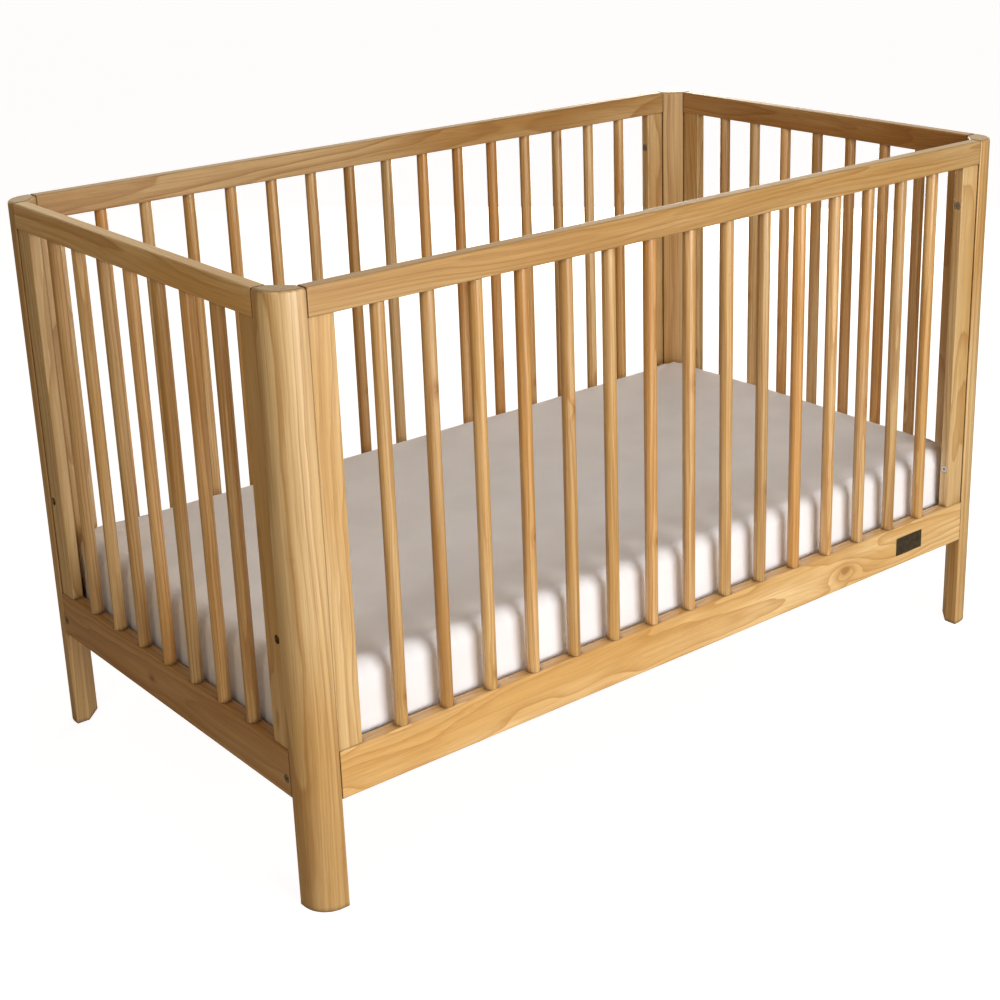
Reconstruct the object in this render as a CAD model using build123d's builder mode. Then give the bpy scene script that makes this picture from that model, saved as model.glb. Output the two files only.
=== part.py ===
from build123d import *
import os

# Baby crib in solid pine with turned spindles, a slatted base and a mattress with a fitted sheet.
#
# Frame: the origin is on the floor under the middle of the crib. +X runs along its length, +Y from
# the front to the back, +Z up. All sizes are in millimetres.
#
# The crib has four side panels: front, right, back and left. Each is drawn in its own ground
# plane, whose x runs along the panel from left to right as seen from outside, whose y runs into
# the crib, and whose origin is under the middle of the panel's outer face. The post at the left
# end of a panel belongs to that panel's drawing, so the four panels bring the four posts.

# ---------------------------------------------------------------- overall size
overall_length = 1363.0
overall_width = 761.0
overall_height = 850.0

# ---------------------------------------------------------------- corner posts
post_side = 48.0
post_corner_radius = 38.0
post_flank = 22.0
post_top_radius = 4.0
post_edge_radius = 2.0
post_foot_chamfer = 1.5

# ---------------------------------------------------------------- rails
rail_thickness = 22.0
rail_mid = rail_thickness / 2
top_rail_height = 38.0
bottom_rail_height = 70.0
bottom_rail_underside = 161.0
top_rail_underside = overall_height - top_rail_height
bottom_rail_top = bottom_rail_underside + bottom_rail_height
rail_edge_radius = 3.0
rail_end_radius = 2.0

# ---------------------------------------------------------------- stiles
stile_width = 38.0
stile_recess = 2.5
stile_thickness = rail_thickness - 2 * stile_recess
stile_edge_radius = 2.0

# ---------------------------------------------------------------- spindles
spindle_diameter = 19.0
tenon_diameter = 12.0
tenon_length = 18.0
long_side_spindles = 15
long_side_pitch = 75.5
short_side_spindles = 7
short_side_pitch = 76.5

# ---------------------------------------------------------------- joinery
# Round wooden parts sit in their holes with a thin glue line, which is also the gap left
# between a bolt and its thread.
glue_line = 0.05
socket_end_gap = 1.0
dowel_diameter = 8.0
rail_dowel_length = 40.0
stile_dowel_length = 30.0
top_dowel_offset = 21.0
bottom_dowel_offsets = (14.0, 42.0)
top_rail_dowel_heights = (top_rail_underside + top_dowel_offset,)
bottom_rail_dowel_heights = tuple(bottom_rail_underside + offset for offset in bottom_dowel_offsets)

# ---------------------------------------------------------------- bolts that hold the long panels
panel_bolt_heights = (298.0, 749.0)
bolt_diameter = 6.0
bolt_hole_diameter = 6.5
bolt_head_diameter = 12.0
bolt_head_height = 4.0
bolt_head_clearance = 0.3
hex_socket_across_flats = 4.0
hex_socket_depth = 2.5
panel_bolt_reach = 26.0
panel_bolt_hole_reach = 28.0
insert_diameter = 10.0
insert_length = 20.0

# ---------------------------------------------------------------- supports of the base
# Distance of a support from the outer corner along the short side, and its two heights.
support_offset = 57.0
support_height_low = 187.0
support_height_high = 387.0
support_hole_diameter = 7.0
support_counterbore_depth = 4.0
support_bolt_end = 33.0
peg_diameter = 10.0
peg_flange_diameter = 16.0
peg_flange_thickness = 2.0
peg_end = 38.0
peg_bore_end = 34.0

# ---------------------------------------------------------------- badge
badge_length = 64.0
badge_height = 31.0
badge_thickness = 1.2
badge_corner_radius = 1.5
badge_rim_gap = 0.2
badge_x = 497.5
badge_z = 195.5

# ---------------------------------------------------------------- base frame
# The u and v values are distances from the outer faces of the short and the long panels.
base_outer_u = 28.0
base_inner_u = 50.0
base_tongue_u = 40.0
base_outer_v = 34.0
base_rabbet_v = 66.0
base_side_rail_width = 20.0
base_rail_height = 42.0
slat_thickness = 8.0
slat_width = 70.0
slat_count = 12
slat_edge_radius = 2.0
first_slat_u = 81.0
mattress_underside = 220.0
slat_underside = mattress_underside - slat_thickness
base_underside = slat_underside - base_rail_height
center_beam_width = 44.0
center_beam_height = 22.0

# ---------------------------------------------------------------- hook brackets of the base
bracket_thickness = 3.0
bracket_outer_v = 48.0
bracket_inner_v = 116.0
bracket_corner_radius = 2.0
notch_clearance = 0.3
bracket_screw_v = (84.0, 104.0)

# ---------------------------------------------------------------- screws of the base
frame_screw_diameter = 4.5
frame_screw_head_diameter = 8.0
frame_screw_head_height = 2.5
frame_screw_length = 36.0
frame_screw_heights = (181.0, 201.0)
beam_screw_offset = 12.0
bracket_screw_length = 18.0
slat_screw_diameter = 3.5
slat_screw_head_diameter = 7.0
slat_screw_head_height = 2.0
slat_screw_length = 28.0

# ---------------------------------------------------------------- mattress and fitted sheet
mattress_length = 1300.0
mattress_width = 690.0
mattress_height = 100.0
mattress_corner_radius = 50.0
mattress_top_radius = 18.0
mattress_bottom_radius = 8.0
sheet_thickness = 1.0
sheet_hem_width = 60.0
soft_curve_gap = 1.0

# ---------------------------------------------------------------- ground planes of the panels
upwards = (0, 0, 1)
grounds = {
    "front": Plane(origin=(0, -overall_width / 2, 0), x_dir=(1, 0, 0), z_dir=upwards),
    "right": Plane(origin=(overall_length / 2, 0, 0), x_dir=(0, 1, 0), z_dir=upwards),
    "back": Plane(origin=(0, overall_width / 2, 0), x_dir=(-1, 0, 0), z_dir=upwards),
    "left": Plane(origin=(-overall_length / 2, 0, 0), x_dir=(0, -1, 0), z_dir=upwards),
}
spans = {"front": overall_length, "right": overall_width, "back": overall_length, "left": overall_width}
long_sides = ("front", "back")
short_sides = ("left", "right")
post_names = {
    "front": "post_front_left",
    "right": "post_front_right",
    "back": "post_back_right",
    "left": "post_back_left",
}
# The two stiles of each panel, at its left end (-1) and its right end (+1) seen from outside.
stile_names = {
    ("front", -1): "stile_front_left",
    ("front", 1): "stile_front_right",
    ("right", -1): "stile_right_front",
    ("right", 1): "stile_right_back",
    ("back", -1): "stile_back_right",
    ("back", 1): "stile_back_left",
    ("left", -1): "stile_left_back",
    ("left", 1): "stile_left_front",
}


def rail_half(side):
    """Half the length of a panel's rails, which run from post to post."""
    return spans[side] / 2 - post_side


def cross_plane(side, x):
    """Plane across a panel at x: its sketches have the depth into the crib and the height."""
    ground = grounds[side]
    origin = ground.from_local_coords((x, 0, 0))
    return Plane(origin=origin, x_dir=ground.y_dir, z_dir=ground.x_dir)


def face_plane(side, depth):
    """Plane parallel to a panel's outer face, facing outwards: x along the panel and the height."""
    ground = grounds[side]
    origin = ground.from_local_coords((0, depth, 0))
    return Plane(origin=origin, x_dir=ground.x_dir, z_dir=-ground.y_dir)


def round_bars(plane, centres, diameter, length, mode=Mode.ADD):
    """Add or cut round bars in the part being built, along the plane's normal."""
    with BuildSketch(plane) as section:
        with Locations(*centres):
            Circle(diameter / 2)
    extrude(section.sketch, amount=length, mode=mode)


def drill(plane, centres, diameter, depth):
    """Drill round holes in the part being built, along the plane's normal."""
    round_bars(plane, centres, diameter, depth, mode=Mode.SUBTRACT)


def hex_sockets(plane, centres, depth):
    """Cut hexagon sockets in the part being built, along the plane's normal."""
    with BuildSketch(plane) as section:
        with Locations(*centres):
            RegularPolygon(hex_socket_across_flats / 2, 6, major_radius=False)
    extrude(section.sketch, amount=depth, mode=Mode.SUBTRACT)


def finish(piece, node):
    """Label a finished sub-part and write it to its own STEP file."""
    piece.part.label = node
    export_step(piece.part, f"parts/{node}.step")


def spindle_centres(side):
    """Centres of a panel's spindles in its ground plane."""
    count = long_side_spindles if side in long_sides else short_side_spindles
    pitch = long_side_pitch if side in long_sides else short_side_pitch
    return [((index - (count - 1) / 2) * pitch, rail_mid) for index in range(count)]


def stile_centres(side):
    """Centres of a panel's two stiles in its ground plane."""
    offset = rail_half(side) - stile_width / 2
    return [(-offset, rail_mid), (offset, rail_mid)]


def support_points(side):
    """The two low support positions on a short panel's face."""
    return [(end * (spans[side] / 2 - support_offset), support_height_low) for end in (-1, 1)]


# ---------------------------------------------------------------- posts
# A post is square, with a nearly quarter-round outer corner and a flat cut across its inner
# corner, which leaves two flanks as wide as the rails are thick.
def make_post(side):
    ground = grounds[side]
    corner = ground.from_local_coords((-spans[side] / 2, 0, 0))
    flank_x = -spans[side] / 2 + post_side
    mid_x = -spans[side] / 2 + rail_mid
    # The panel's own rails meet the flank that faces along it, and the next panel's the other.
    own_flank = cross_plane(side, flank_x)
    other_flank = face_plane(side, post_side)
    dowel_heights = top_rail_dowel_heights + bottom_rail_dowel_heights
    dowel_hole = dowel_diameter + 2 * glue_line
    insert_hole = insert_diameter + 2 * glue_line
    with BuildPart() as post:
        with BuildSketch(Plane(origin=corner, x_dir=ground.x_dir, z_dir=upwards)) as section:
            with BuildLine():
                Polyline(
                    (post_corner_radius, 0),
                    (post_side, 0),
                    (post_side, post_flank),
                    (post_flank, post_side),
                    (0, post_side),
                    (0, post_corner_radius),
                )
                CenterArc((post_corner_radius, post_corner_radius), post_corner_radius, 180, 90)
            make_face()
            # The four corners of the flanks are eased. The other two blend into the round corner.
            eased = [vertex for vertex in section.vertices() if max(vertex.X, vertex.Y) > post_corner_radius + 1]
            fillet(eased, post_edge_radius)
        extrude(amount=overall_height)
        fillet(post.faces().sort_by(Axis.Z)[-1].edges(), post_top_radius)
        chamfer(post.faces().sort_by(Axis.Z)[0].edges(), post_foot_chamfer)
        drill(own_flank, [(rail_mid, z) for z in dowel_heights], dowel_hole, -rail_dowel_length / 2)
        drill(other_flank, [(mid_x, z) for z in dowel_heights], dowel_hole, rail_dowel_length / 2)
        if side in long_sides:
            bolt_points = [(rail_mid, z) for z in panel_bolt_heights]
            drill(own_flank, bolt_points, insert_hole, -insert_length)
            drill(own_flank, bolt_points, bolt_hole_diameter, -panel_bolt_hole_reach)
        else:
            bolt_points = [(mid_x, z) for z in panel_bolt_heights]
            drill(other_flank, bolt_points, insert_hole, insert_length)
            drill(other_flank, bolt_points, bolt_hole_diameter, panel_bolt_hole_reach)
    finish(post, post_names[side])


for side in grounds:
    make_post(side)


# ---------------------------------------------------------------- rails
def make_rail(side, node, underside, height, spindle_edge):
    """A rail from post to post; its spindle sockets open at its upper (+1) or lower (-1) edge."""
    ground = grounds[side]
    along = Axis(ground.origin, ground.x_dir)
    half = rail_half(side)
    is_bottom = spindle_edge > 0
    edge_plane = ground.offset(underside + height if is_bottom else underside)
    dowel_heights = bottom_rail_dowel_heights if is_bottom else top_rail_dowel_heights
    dowel_hole = dowel_diameter + 2 * glue_line
    tenon_hole = tenon_diameter + 2 * glue_line
    with BuildPart() as rail:
        with BuildSketch(ground.offset(underside)):
            with Locations((0, rail_mid)):
                Rectangle(2 * half, rail_thickness)
        extrude(amount=height)
        fillet(rail.edges().filter_by(along), rail_edge_radius)
        fillet(rail.faces().filter_by(along).edges(), rail_end_radius)
        drill(edge_plane, spindle_centres(side), tenon_hole, -spindle_edge * (tenon_length + socket_end_gap))
        drill(edge_plane, stile_centres(side), dowel_hole, -spindle_edge * stile_dowel_length / 2)
        for end in (-1, 1):
            end_points = [(rail_mid, z) for z in dowel_heights]
            drill(cross_plane(side, end * half), end_points, dowel_hole, -end * rail_dowel_length / 2)
        if is_bottom and side in short_sides:
            supports = support_points(side)
            counterbore = bolt_head_diameter + 2 * bolt_head_clearance
            drill(face_plane(side, 0), supports, support_hole_diameter, -rail_thickness)
            drill(face_plane(side, 0), supports, counterbore, -support_counterbore_depth)
        if is_bottom and side == "front":
            with BuildSketch(face_plane(side, 0)) as recess:
                with Locations((badge_x, badge_z)):
                    RectangleRounded(
                        badge_length + 2 * badge_rim_gap,
                        badge_height + 2 * badge_rim_gap,
                        badge_corner_radius + badge_rim_gap,
                    )
            extrude(recess.sketch, amount=-badge_thickness, mode=Mode.SUBTRACT)
    finish(rail, node)


for side in grounds:
    make_rail(side, f"top_rail_{side}", top_rail_underside, top_rail_height, -1)
    make_rail(side, f"bottom_rail_{side}", bottom_rail_underside, bottom_rail_height, 1)


# ---------------------------------------------------------------- stiles
def make_stile(side, end):
    """The upright board beside a post, between the rails and a little thinner than they are."""
    ground = grounds[side]
    half = rail_half(side)
    outer_x = end * half
    inner_x = end * (half - stile_width)
    dowel_hole = dowel_diameter + 2 * glue_line
    counterbore = bolt_head_diameter + 2 * bolt_head_clearance
    centre = (end * (half - stile_width / 2), rail_mid)
    with BuildPart() as stile:
        with BuildSketch(ground.offset(bottom_rail_top)):
            with Locations(centre):
                Rectangle(stile_width, stile_thickness)
        extrude(amount=top_rail_underside - bottom_rail_top)
        fillet(stile.edges().filter_by(Axis.Z), stile_edge_radius)
        drill(ground.offset(bottom_rail_top), [centre], dowel_hole, stile_dowel_length / 2)
        drill(ground.offset(top_rail_underside), [centre], dowel_hole, -stile_dowel_length / 2)
        if side in long_sides:
            bolt_points = [(rail_mid, z) for z in panel_bolt_heights]
            drill(cross_plane(side, outer_x), bolt_points, bolt_hole_diameter, -end * stile_width)
            drill(cross_plane(side, inner_x), bolt_points, counterbore, end * bolt_head_height)
        else:
            spare = [(end * (spans[side] / 2 - support_offset), support_height_high)]
            outer_face = face_plane(side, stile_recess)
            drill(outer_face, spare, support_hole_diameter, -stile_thickness)
            drill(outer_face, spare, counterbore, -support_counterbore_depth)
    finish(stile, stile_names[side, end])


for side, end in stile_names:
    make_stile(side, end)


# ---------------------------------------------------------------- spindles
# Each spindle is a straight round bar with a thinner tenon at both ends.
def make_spindles(side):
    ground = grounds[side]
    centres = spindle_centres(side)
    with BuildPart() as spindles:
        round_bars(ground.offset(bottom_rail_top - tenon_length), centres, tenon_diameter, tenon_length)
        round_bars(
            ground.offset(bottom_rail_top), centres, spindle_diameter, top_rail_underside - bottom_rail_top
        )
        round_bars(ground.offset(top_rail_underside), centres, tenon_diameter, tenon_length)
    finish(spindles, f"spindles_{side}")


for side in grounds:
    make_spindles(side)

# ---------------------------------------------------------------- dowels
# Dowels lie across each joint between a rail and a post, half in each.
with BuildPart() as rail_dowels:
    for side in grounds:
        for end in (-1, 1):
            middle = cross_plane(side, end * rail_half(side))
            points = [(rail_mid, z) for z in top_rail_dowel_heights + bottom_rail_dowel_heights]
            dowel_end = middle.offset(-(rail_dowel_length / 2 - socket_end_gap))
            round_bars(dowel_end, points, dowel_diameter, rail_dowel_length - 2 * socket_end_gap)
finish(rail_dowels, "rail_dowels")

# A dowel stands upright in each joint between a stile and a rail.
with BuildPart() as stile_dowels:
    for side in grounds:
        for joint_height in (bottom_rail_top, top_rail_underside):
            dowel_end = grounds[side].offset(joint_height - stile_dowel_length / 2 + socket_end_gap)
            dowel_length = stile_dowel_length - 2 * socket_end_gap
            round_bars(dowel_end, stile_centres(side), dowel_diameter, dowel_length)
finish(stile_dowels, "stile_dowels")

# ---------------------------------------------------------------- bolts of the long panels
# A bolt goes in at the inner edge of each stile of a long panel and into an insert in the post.
with BuildPart() as panel_bolts:
    for side in long_sides:
        for end in (-1, 1):
            points = [(rail_mid, z) for z in panel_bolt_heights]
            head_x = end * (rail_half(side) - stile_width)
            reach = stile_width + panel_bolt_reach
            round_bars(cross_plane(side, head_x), points, bolt_diameter, end * reach)
            round_bars(cross_plane(side, head_x), points, bolt_head_diameter, end * bolt_head_height)
            hex_sockets(cross_plane(side, head_x), points, end * hex_socket_depth)
finish(panel_bolts, "panel_bolts")

with BuildPart() as threaded_inserts:
    for side in long_sides:
        for end in (-1, 1):
            points = [(rail_mid, z) for z in panel_bolt_heights]
            flank = cross_plane(side, end * rail_half(side))
            round_bars(flank, points, insert_diameter, end * insert_length)
            drill(flank, points, bolt_diameter + 2 * glue_line, end * insert_length)
finish(threaded_inserts, "threaded_inserts")


# ---------------------------------------------------------------- supports of the base
# The bolts come in from outside and hold the pegs, on which the hook brackets hang.
with BuildPart() as support_bolts:
    for side in short_sides:
        points = support_points(side)
        round_bars(face_plane(side, 0), points, bolt_diameter, -support_bolt_end)
        round_bars(face_plane(side, 0), points, bolt_head_diameter, -support_counterbore_depth)
        hex_sockets(face_plane(side, 0), points, -hex_socket_depth)
finish(support_bolts, "support_bolts")

with BuildPart() as support_pegs:
    for side in short_sides:
        points = support_points(side)
        inner_face = face_plane(side, rail_thickness)
        round_bars(inner_face, points, peg_diameter, -(peg_end - rail_thickness))
        round_bars(inner_face, points, peg_flange_diameter, -peg_flange_thickness)
        drill(inner_face, points, bolt_diameter + 2 * glue_line, -(peg_bore_end - rail_thickness))
finish(support_pegs, "support_pegs")

# ---------------------------------------------------------------- badge
# A blank metal plate let in flush with the front bottom rail.
with BuildPart() as badge_plate:
    with BuildSketch(face_plane("front", 0)):
        with Locations((badge_x, badge_z)):
            RectangleRounded(badge_length, badge_height, badge_corner_radius)
    extrude(amount=-badge_thickness)
finish(badge_plate, "badge_plate")

# ---------------------------------------------------------------- base frame
base_side_rail_v = base_outer_v + base_side_rail_width / 2
side_rail_length = overall_length - 2 * base_inner_u
base_width = overall_width - 2 * base_outer_v
frame_screw_hole = frame_screw_diameter + 2 * glue_line
frame_screw_head_hole = frame_screw_head_diameter + 2 * glue_line
slat_screw_hole = slat_screw_diameter + 2 * glue_line
slat_screw_head_hole = slat_screw_head_diameter + 2 * glue_line
first_slat_x = -overall_length / 2 + first_slat_u
slat_pitch = -2 * first_slat_x / (slat_count - 1)
slat_xs = [first_slat_x + index * slat_pitch for index in range(slat_count)]
slat_screw_y = overall_width / 2 - base_side_rail_v
slat_screw_depth = slat_screw_length - slat_thickness


def frame_screw_points(side):
    """Where the corner screws of the base cross a short side, as depths along Y and heights."""
    offset = spans[side] / 2 - base_side_rail_v
    return [(end * offset, z) for end in (-1, 1) for z in frame_screw_heights]


def beam_screw_points():
    """Where the screws of the centre beam cross a short side."""
    return [(-beam_screw_offset, frame_screw_heights[1]), (beam_screw_offset, frame_screw_heights[1])]


def bracket_screw_points(side, end):
    """Where the two screws of one hook bracket cross a short side."""
    middle_height = base_underside + base_rail_height / 2
    return [(end * (spans[side] / 2 - v), middle_height) for v in bracket_screw_v]


for side in long_sides:
    with BuildPart() as base_side_rail:
        with BuildSketch(grounds[side].offset(base_underside)):
            with Locations((0, base_side_rail_v)):
                Rectangle(side_rail_length, base_side_rail_width)
        extrude(amount=base_rail_height)
        fillet(base_side_rail.edges().filter_by(Axis.X), rail_edge_radius)
        slat_points = [(x, base_side_rail_v) for x in slat_xs]
        drill(grounds[side].offset(slat_underside), slat_points, slat_screw_hole, -slat_screw_depth)
        for end in (-1, 1):
            end_plane = cross_plane(side, end * side_rail_length / 2)
            points = [(base_side_rail_v, z) for z in frame_screw_heights]
            screw_depth = frame_screw_length - (base_inner_u - base_tongue_u)
            drill(end_plane, points, frame_screw_hole, -end * screw_depth)
    finish(base_side_rail, f"base_side_rail_{side}")

# An end rail is thinned at both ends, which leaves room for the support pegs.
for side in short_sides:
    end_rail_depth = (base_outer_u + base_inner_u) / 2
    with BuildPart() as base_end_rail:
        with BuildSketch(grounds[side].offset(base_underside)):
            with Locations((0, end_rail_depth)):
                Rectangle(base_width, base_inner_u - base_outer_u)
            rabbet_length = base_rabbet_v - base_outer_v
            rabbet_x = overall_width / 2 - (base_rabbet_v + base_outer_v) / 2
            with Locations(
                (-rabbet_x, (base_outer_u + base_tongue_u) / 2),
                (rabbet_x, (base_outer_u + base_tongue_u) / 2),
            ):
                Rectangle(rabbet_length, base_tongue_u - base_outer_u, mode=Mode.SUBTRACT)
        extrude(amount=base_rail_height)
        tongue_face = face_plane(side, base_tongue_u)
        outer_face = face_plane(side, base_outer_u)
        tongue_thickness = base_inner_u - base_tongue_u
        drill(tongue_face, frame_screw_points(side), frame_screw_hole, -tongue_thickness)
        drill(tongue_face, frame_screw_points(side), frame_screw_head_hole, -frame_screw_head_height)
        drill(outer_face, beam_screw_points(), frame_screw_hole, -(base_inner_u - base_outer_u))
        drill(outer_face, beam_screw_points(), frame_screw_head_hole, -frame_screw_head_height)
        for end in (-1, 1):
            bracket_screw_hole_depth = bracket_screw_length - bracket_thickness + socket_end_gap
            points = bracket_screw_points(side, end)
            drill(outer_face, points, frame_screw_hole, -bracket_screw_hole_depth)
    finish(base_end_rail, f"base_end_rail_{side}")

with BuildPart() as base_center_beam:
    with BuildSketch(Plane.XY.offset(slat_underside - center_beam_height)):
        Rectangle(side_rail_length, center_beam_width)
    extrude(amount=center_beam_height)
    fillet(base_center_beam.edges().filter_by(Axis.X), rail_edge_radius)
    drill(Plane.XY.offset(slat_underside), [(x, 0) for x in slat_xs], slat_screw_hole, -slat_screw_depth)
    for side in short_sides:
        beam_screw_depth = frame_screw_length - (base_inner_u - base_outer_u)
        drill(face_plane(side, base_inner_u), beam_screw_points(), frame_screw_hole, -beam_screw_depth)
finish(base_center_beam, "base_center_beam")

# ---------------------------------------------------------------- slats
for number, slat_x in enumerate(slat_xs, start=1):
    with BuildPart() as slat:
        with BuildSketch(Plane.XY.offset(slat_underside)):
            with Locations((slat_x, 0)):
                Rectangle(slat_width, base_width)
        extrude(amount=slat_thickness)
        fillet(slat.edges().filter_by(Axis.Y), slat_edge_radius)
        top_face = Plane.XY.offset(mattress_underside)
        slat_points = [(slat_x, -slat_screw_y), (slat_x, 0), (slat_x, slat_screw_y)]
        drill(top_face, slat_points, slat_screw_hole, -slat_thickness)
        drill(top_face, slat_points, slat_screw_head_hole, -slat_screw_head_height)
    finish(slat, f"slat_{number:02d}")

# ---------------------------------------------------------------- hook brackets
# A steel plate at each corner of the base, with a notch that opens downwards over the peg.
for side, end in stile_names:
    if side in short_sides:
        bracket_x = end * (spans[side] / 2 - (bracket_outer_v + bracket_inner_v) / 2)
        notch_x = end * (spans[side] / 2 - support_offset)
        notch_radius = peg_diameter / 2 + notch_clearance
        outer_face = face_plane(side, base_outer_u - bracket_thickness)
        with BuildPart() as bracket:
            with BuildSketch(outer_face):
                with Locations((bracket_x, base_underside + base_rail_height / 2)):
                    RectangleRounded(bracket_inner_v - bracket_outer_v, base_rail_height, bracket_corner_radius)
                with Locations((notch_x, support_height_low)):
                    Circle(notch_radius, mode=Mode.SUBTRACT)
                    Rectangle(
                        2 * notch_radius,
                        support_height_low - base_underside,
                        align=(Align.CENTER, Align.MAX),
                        mode=Mode.SUBTRACT,
                    )
            extrude(amount=-bracket_thickness)
            points = bracket_screw_points(side, end)
            drill(outer_face, points, frame_screw_hole, -bracket_thickness)
            drill(outer_face, points, frame_screw_head_hole, -frame_screw_head_height)
        finish(bracket, stile_names[side, end].replace("stile", "hook_bracket"))

# ---------------------------------------------------------------- screws of the base
with BuildPart() as bracket_screws:
    for side, end in stile_names:
        if side in short_sides:
            outer_face = face_plane(side, base_outer_u - bracket_thickness)
            points = bracket_screw_points(side, end)
            round_bars(outer_face, points, frame_screw_diameter, -bracket_screw_length)
            round_bars(outer_face, points, frame_screw_head_diameter, -frame_screw_head_height)
finish(bracket_screws, "bracket_screws")

with BuildPart() as base_frame_screws:
    for side in short_sides:
        tongue_face = face_plane(side, base_tongue_u)
        outer_face = face_plane(side, base_outer_u)
        round_bars(tongue_face, frame_screw_points(side), frame_screw_diameter, -frame_screw_length)
        round_bars(tongue_face, frame_screw_points(side), frame_screw_head_diameter, -frame_screw_head_height)
        round_bars(outer_face, beam_screw_points(), frame_screw_diameter, -frame_screw_length)
        round_bars(outer_face, beam_screw_points(), frame_screw_head_diameter, -frame_screw_head_height)
finish(base_frame_screws, "base_frame_screws")

with BuildPart() as slat_screws:
    top_face = Plane.XY.offset(mattress_underside)
    slat_points = [(x, y) for x in slat_xs for y in (-slat_screw_y, 0, slat_screw_y)]
    round_bars(top_face, slat_points, slat_screw_diameter, -slat_screw_length)
    round_bars(top_face, slat_points, slat_screw_head_diameter, -slat_screw_head_height)
finish(slat_screws, "slat_screws")


# ---------------------------------------------------------------- mattress and fitted sheet
def cushion_form(inset, top_radius, bottom_radius, corner_radius):
    """The mattress's rounded block, shrunk by an inset on every side."""
    with BuildPart() as form:
        with BuildSketch(Plane.XY.offset(mattress_underside + inset)):
            RectangleRounded(mattress_length - 2 * inset, mattress_width - 2 * inset, corner_radius)
        extrude(amount=mattress_height - 2 * inset)
        fillet(form.faces().sort_by(Axis.Z)[-1].edges(), top_radius)
        fillet(form.faces().sort_by(Axis.Z)[0].edges(), bottom_radius)
    return form


# The mattress's rounded edges are a little rounder than the sheet, and stand clear of it.
mattress = cushion_form(
    sheet_thickness,
    mattress_top_radius + soft_curve_gap - sheet_thickness,
    mattress_bottom_radius + soft_curve_gap - sheet_thickness,
    mattress_corner_radius + soft_curve_gap - sheet_thickness,
)
finish(mattress, "mattress")

# The sheet covers the top and the sides and is turned in under the mattress all round.
sheet_outside = cushion_form(0, mattress_top_radius, mattress_bottom_radius, mattress_corner_radius)
sheet_inside = cushion_form(
    sheet_thickness,
    mattress_top_radius - sheet_thickness,
    mattress_bottom_radius - sheet_thickness,
    mattress_corner_radius - sheet_thickness,
)
with BuildPart() as fitted_sheet:
    add(sheet_outside.part)
    add(sheet_inside.part, mode=Mode.SUBTRACT)
    with BuildSketch(Plane.XY.offset(mattress_underside)):
        RectangleRounded(
            mattress_length - 2 * sheet_hem_width,
            mattress_width - 2 * sheet_hem_width,
            mattress_corner_radius,
        )
    extrude(amount=sheet_thickness, mode=Mode.SUBTRACT)
finish(fitted_sheet, "fitted_sheet")
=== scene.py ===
"""Looks of a wooden baby crib: lacquered pine, steel fittings, and a mattress in a fitted cotton sheet.
Lengths are in metres and colours are linear."""

import math
import random

import bpy
import numpy as np
from mathutils import Matrix, Vector, noise


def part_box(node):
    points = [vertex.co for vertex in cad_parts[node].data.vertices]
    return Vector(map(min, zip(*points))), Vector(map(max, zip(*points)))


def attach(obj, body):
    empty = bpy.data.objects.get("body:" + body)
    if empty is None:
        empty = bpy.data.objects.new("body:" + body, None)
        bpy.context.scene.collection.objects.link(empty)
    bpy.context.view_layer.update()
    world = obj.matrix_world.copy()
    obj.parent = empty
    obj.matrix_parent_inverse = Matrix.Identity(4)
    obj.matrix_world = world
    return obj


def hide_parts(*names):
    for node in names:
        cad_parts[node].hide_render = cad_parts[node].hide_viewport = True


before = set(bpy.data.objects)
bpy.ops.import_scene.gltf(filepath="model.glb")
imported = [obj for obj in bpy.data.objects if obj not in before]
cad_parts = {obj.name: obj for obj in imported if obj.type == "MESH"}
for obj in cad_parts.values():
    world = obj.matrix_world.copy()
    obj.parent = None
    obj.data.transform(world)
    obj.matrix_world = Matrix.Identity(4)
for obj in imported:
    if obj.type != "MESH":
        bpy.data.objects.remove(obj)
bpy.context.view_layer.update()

# ---------------------------------------------------------------- node helper


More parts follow.
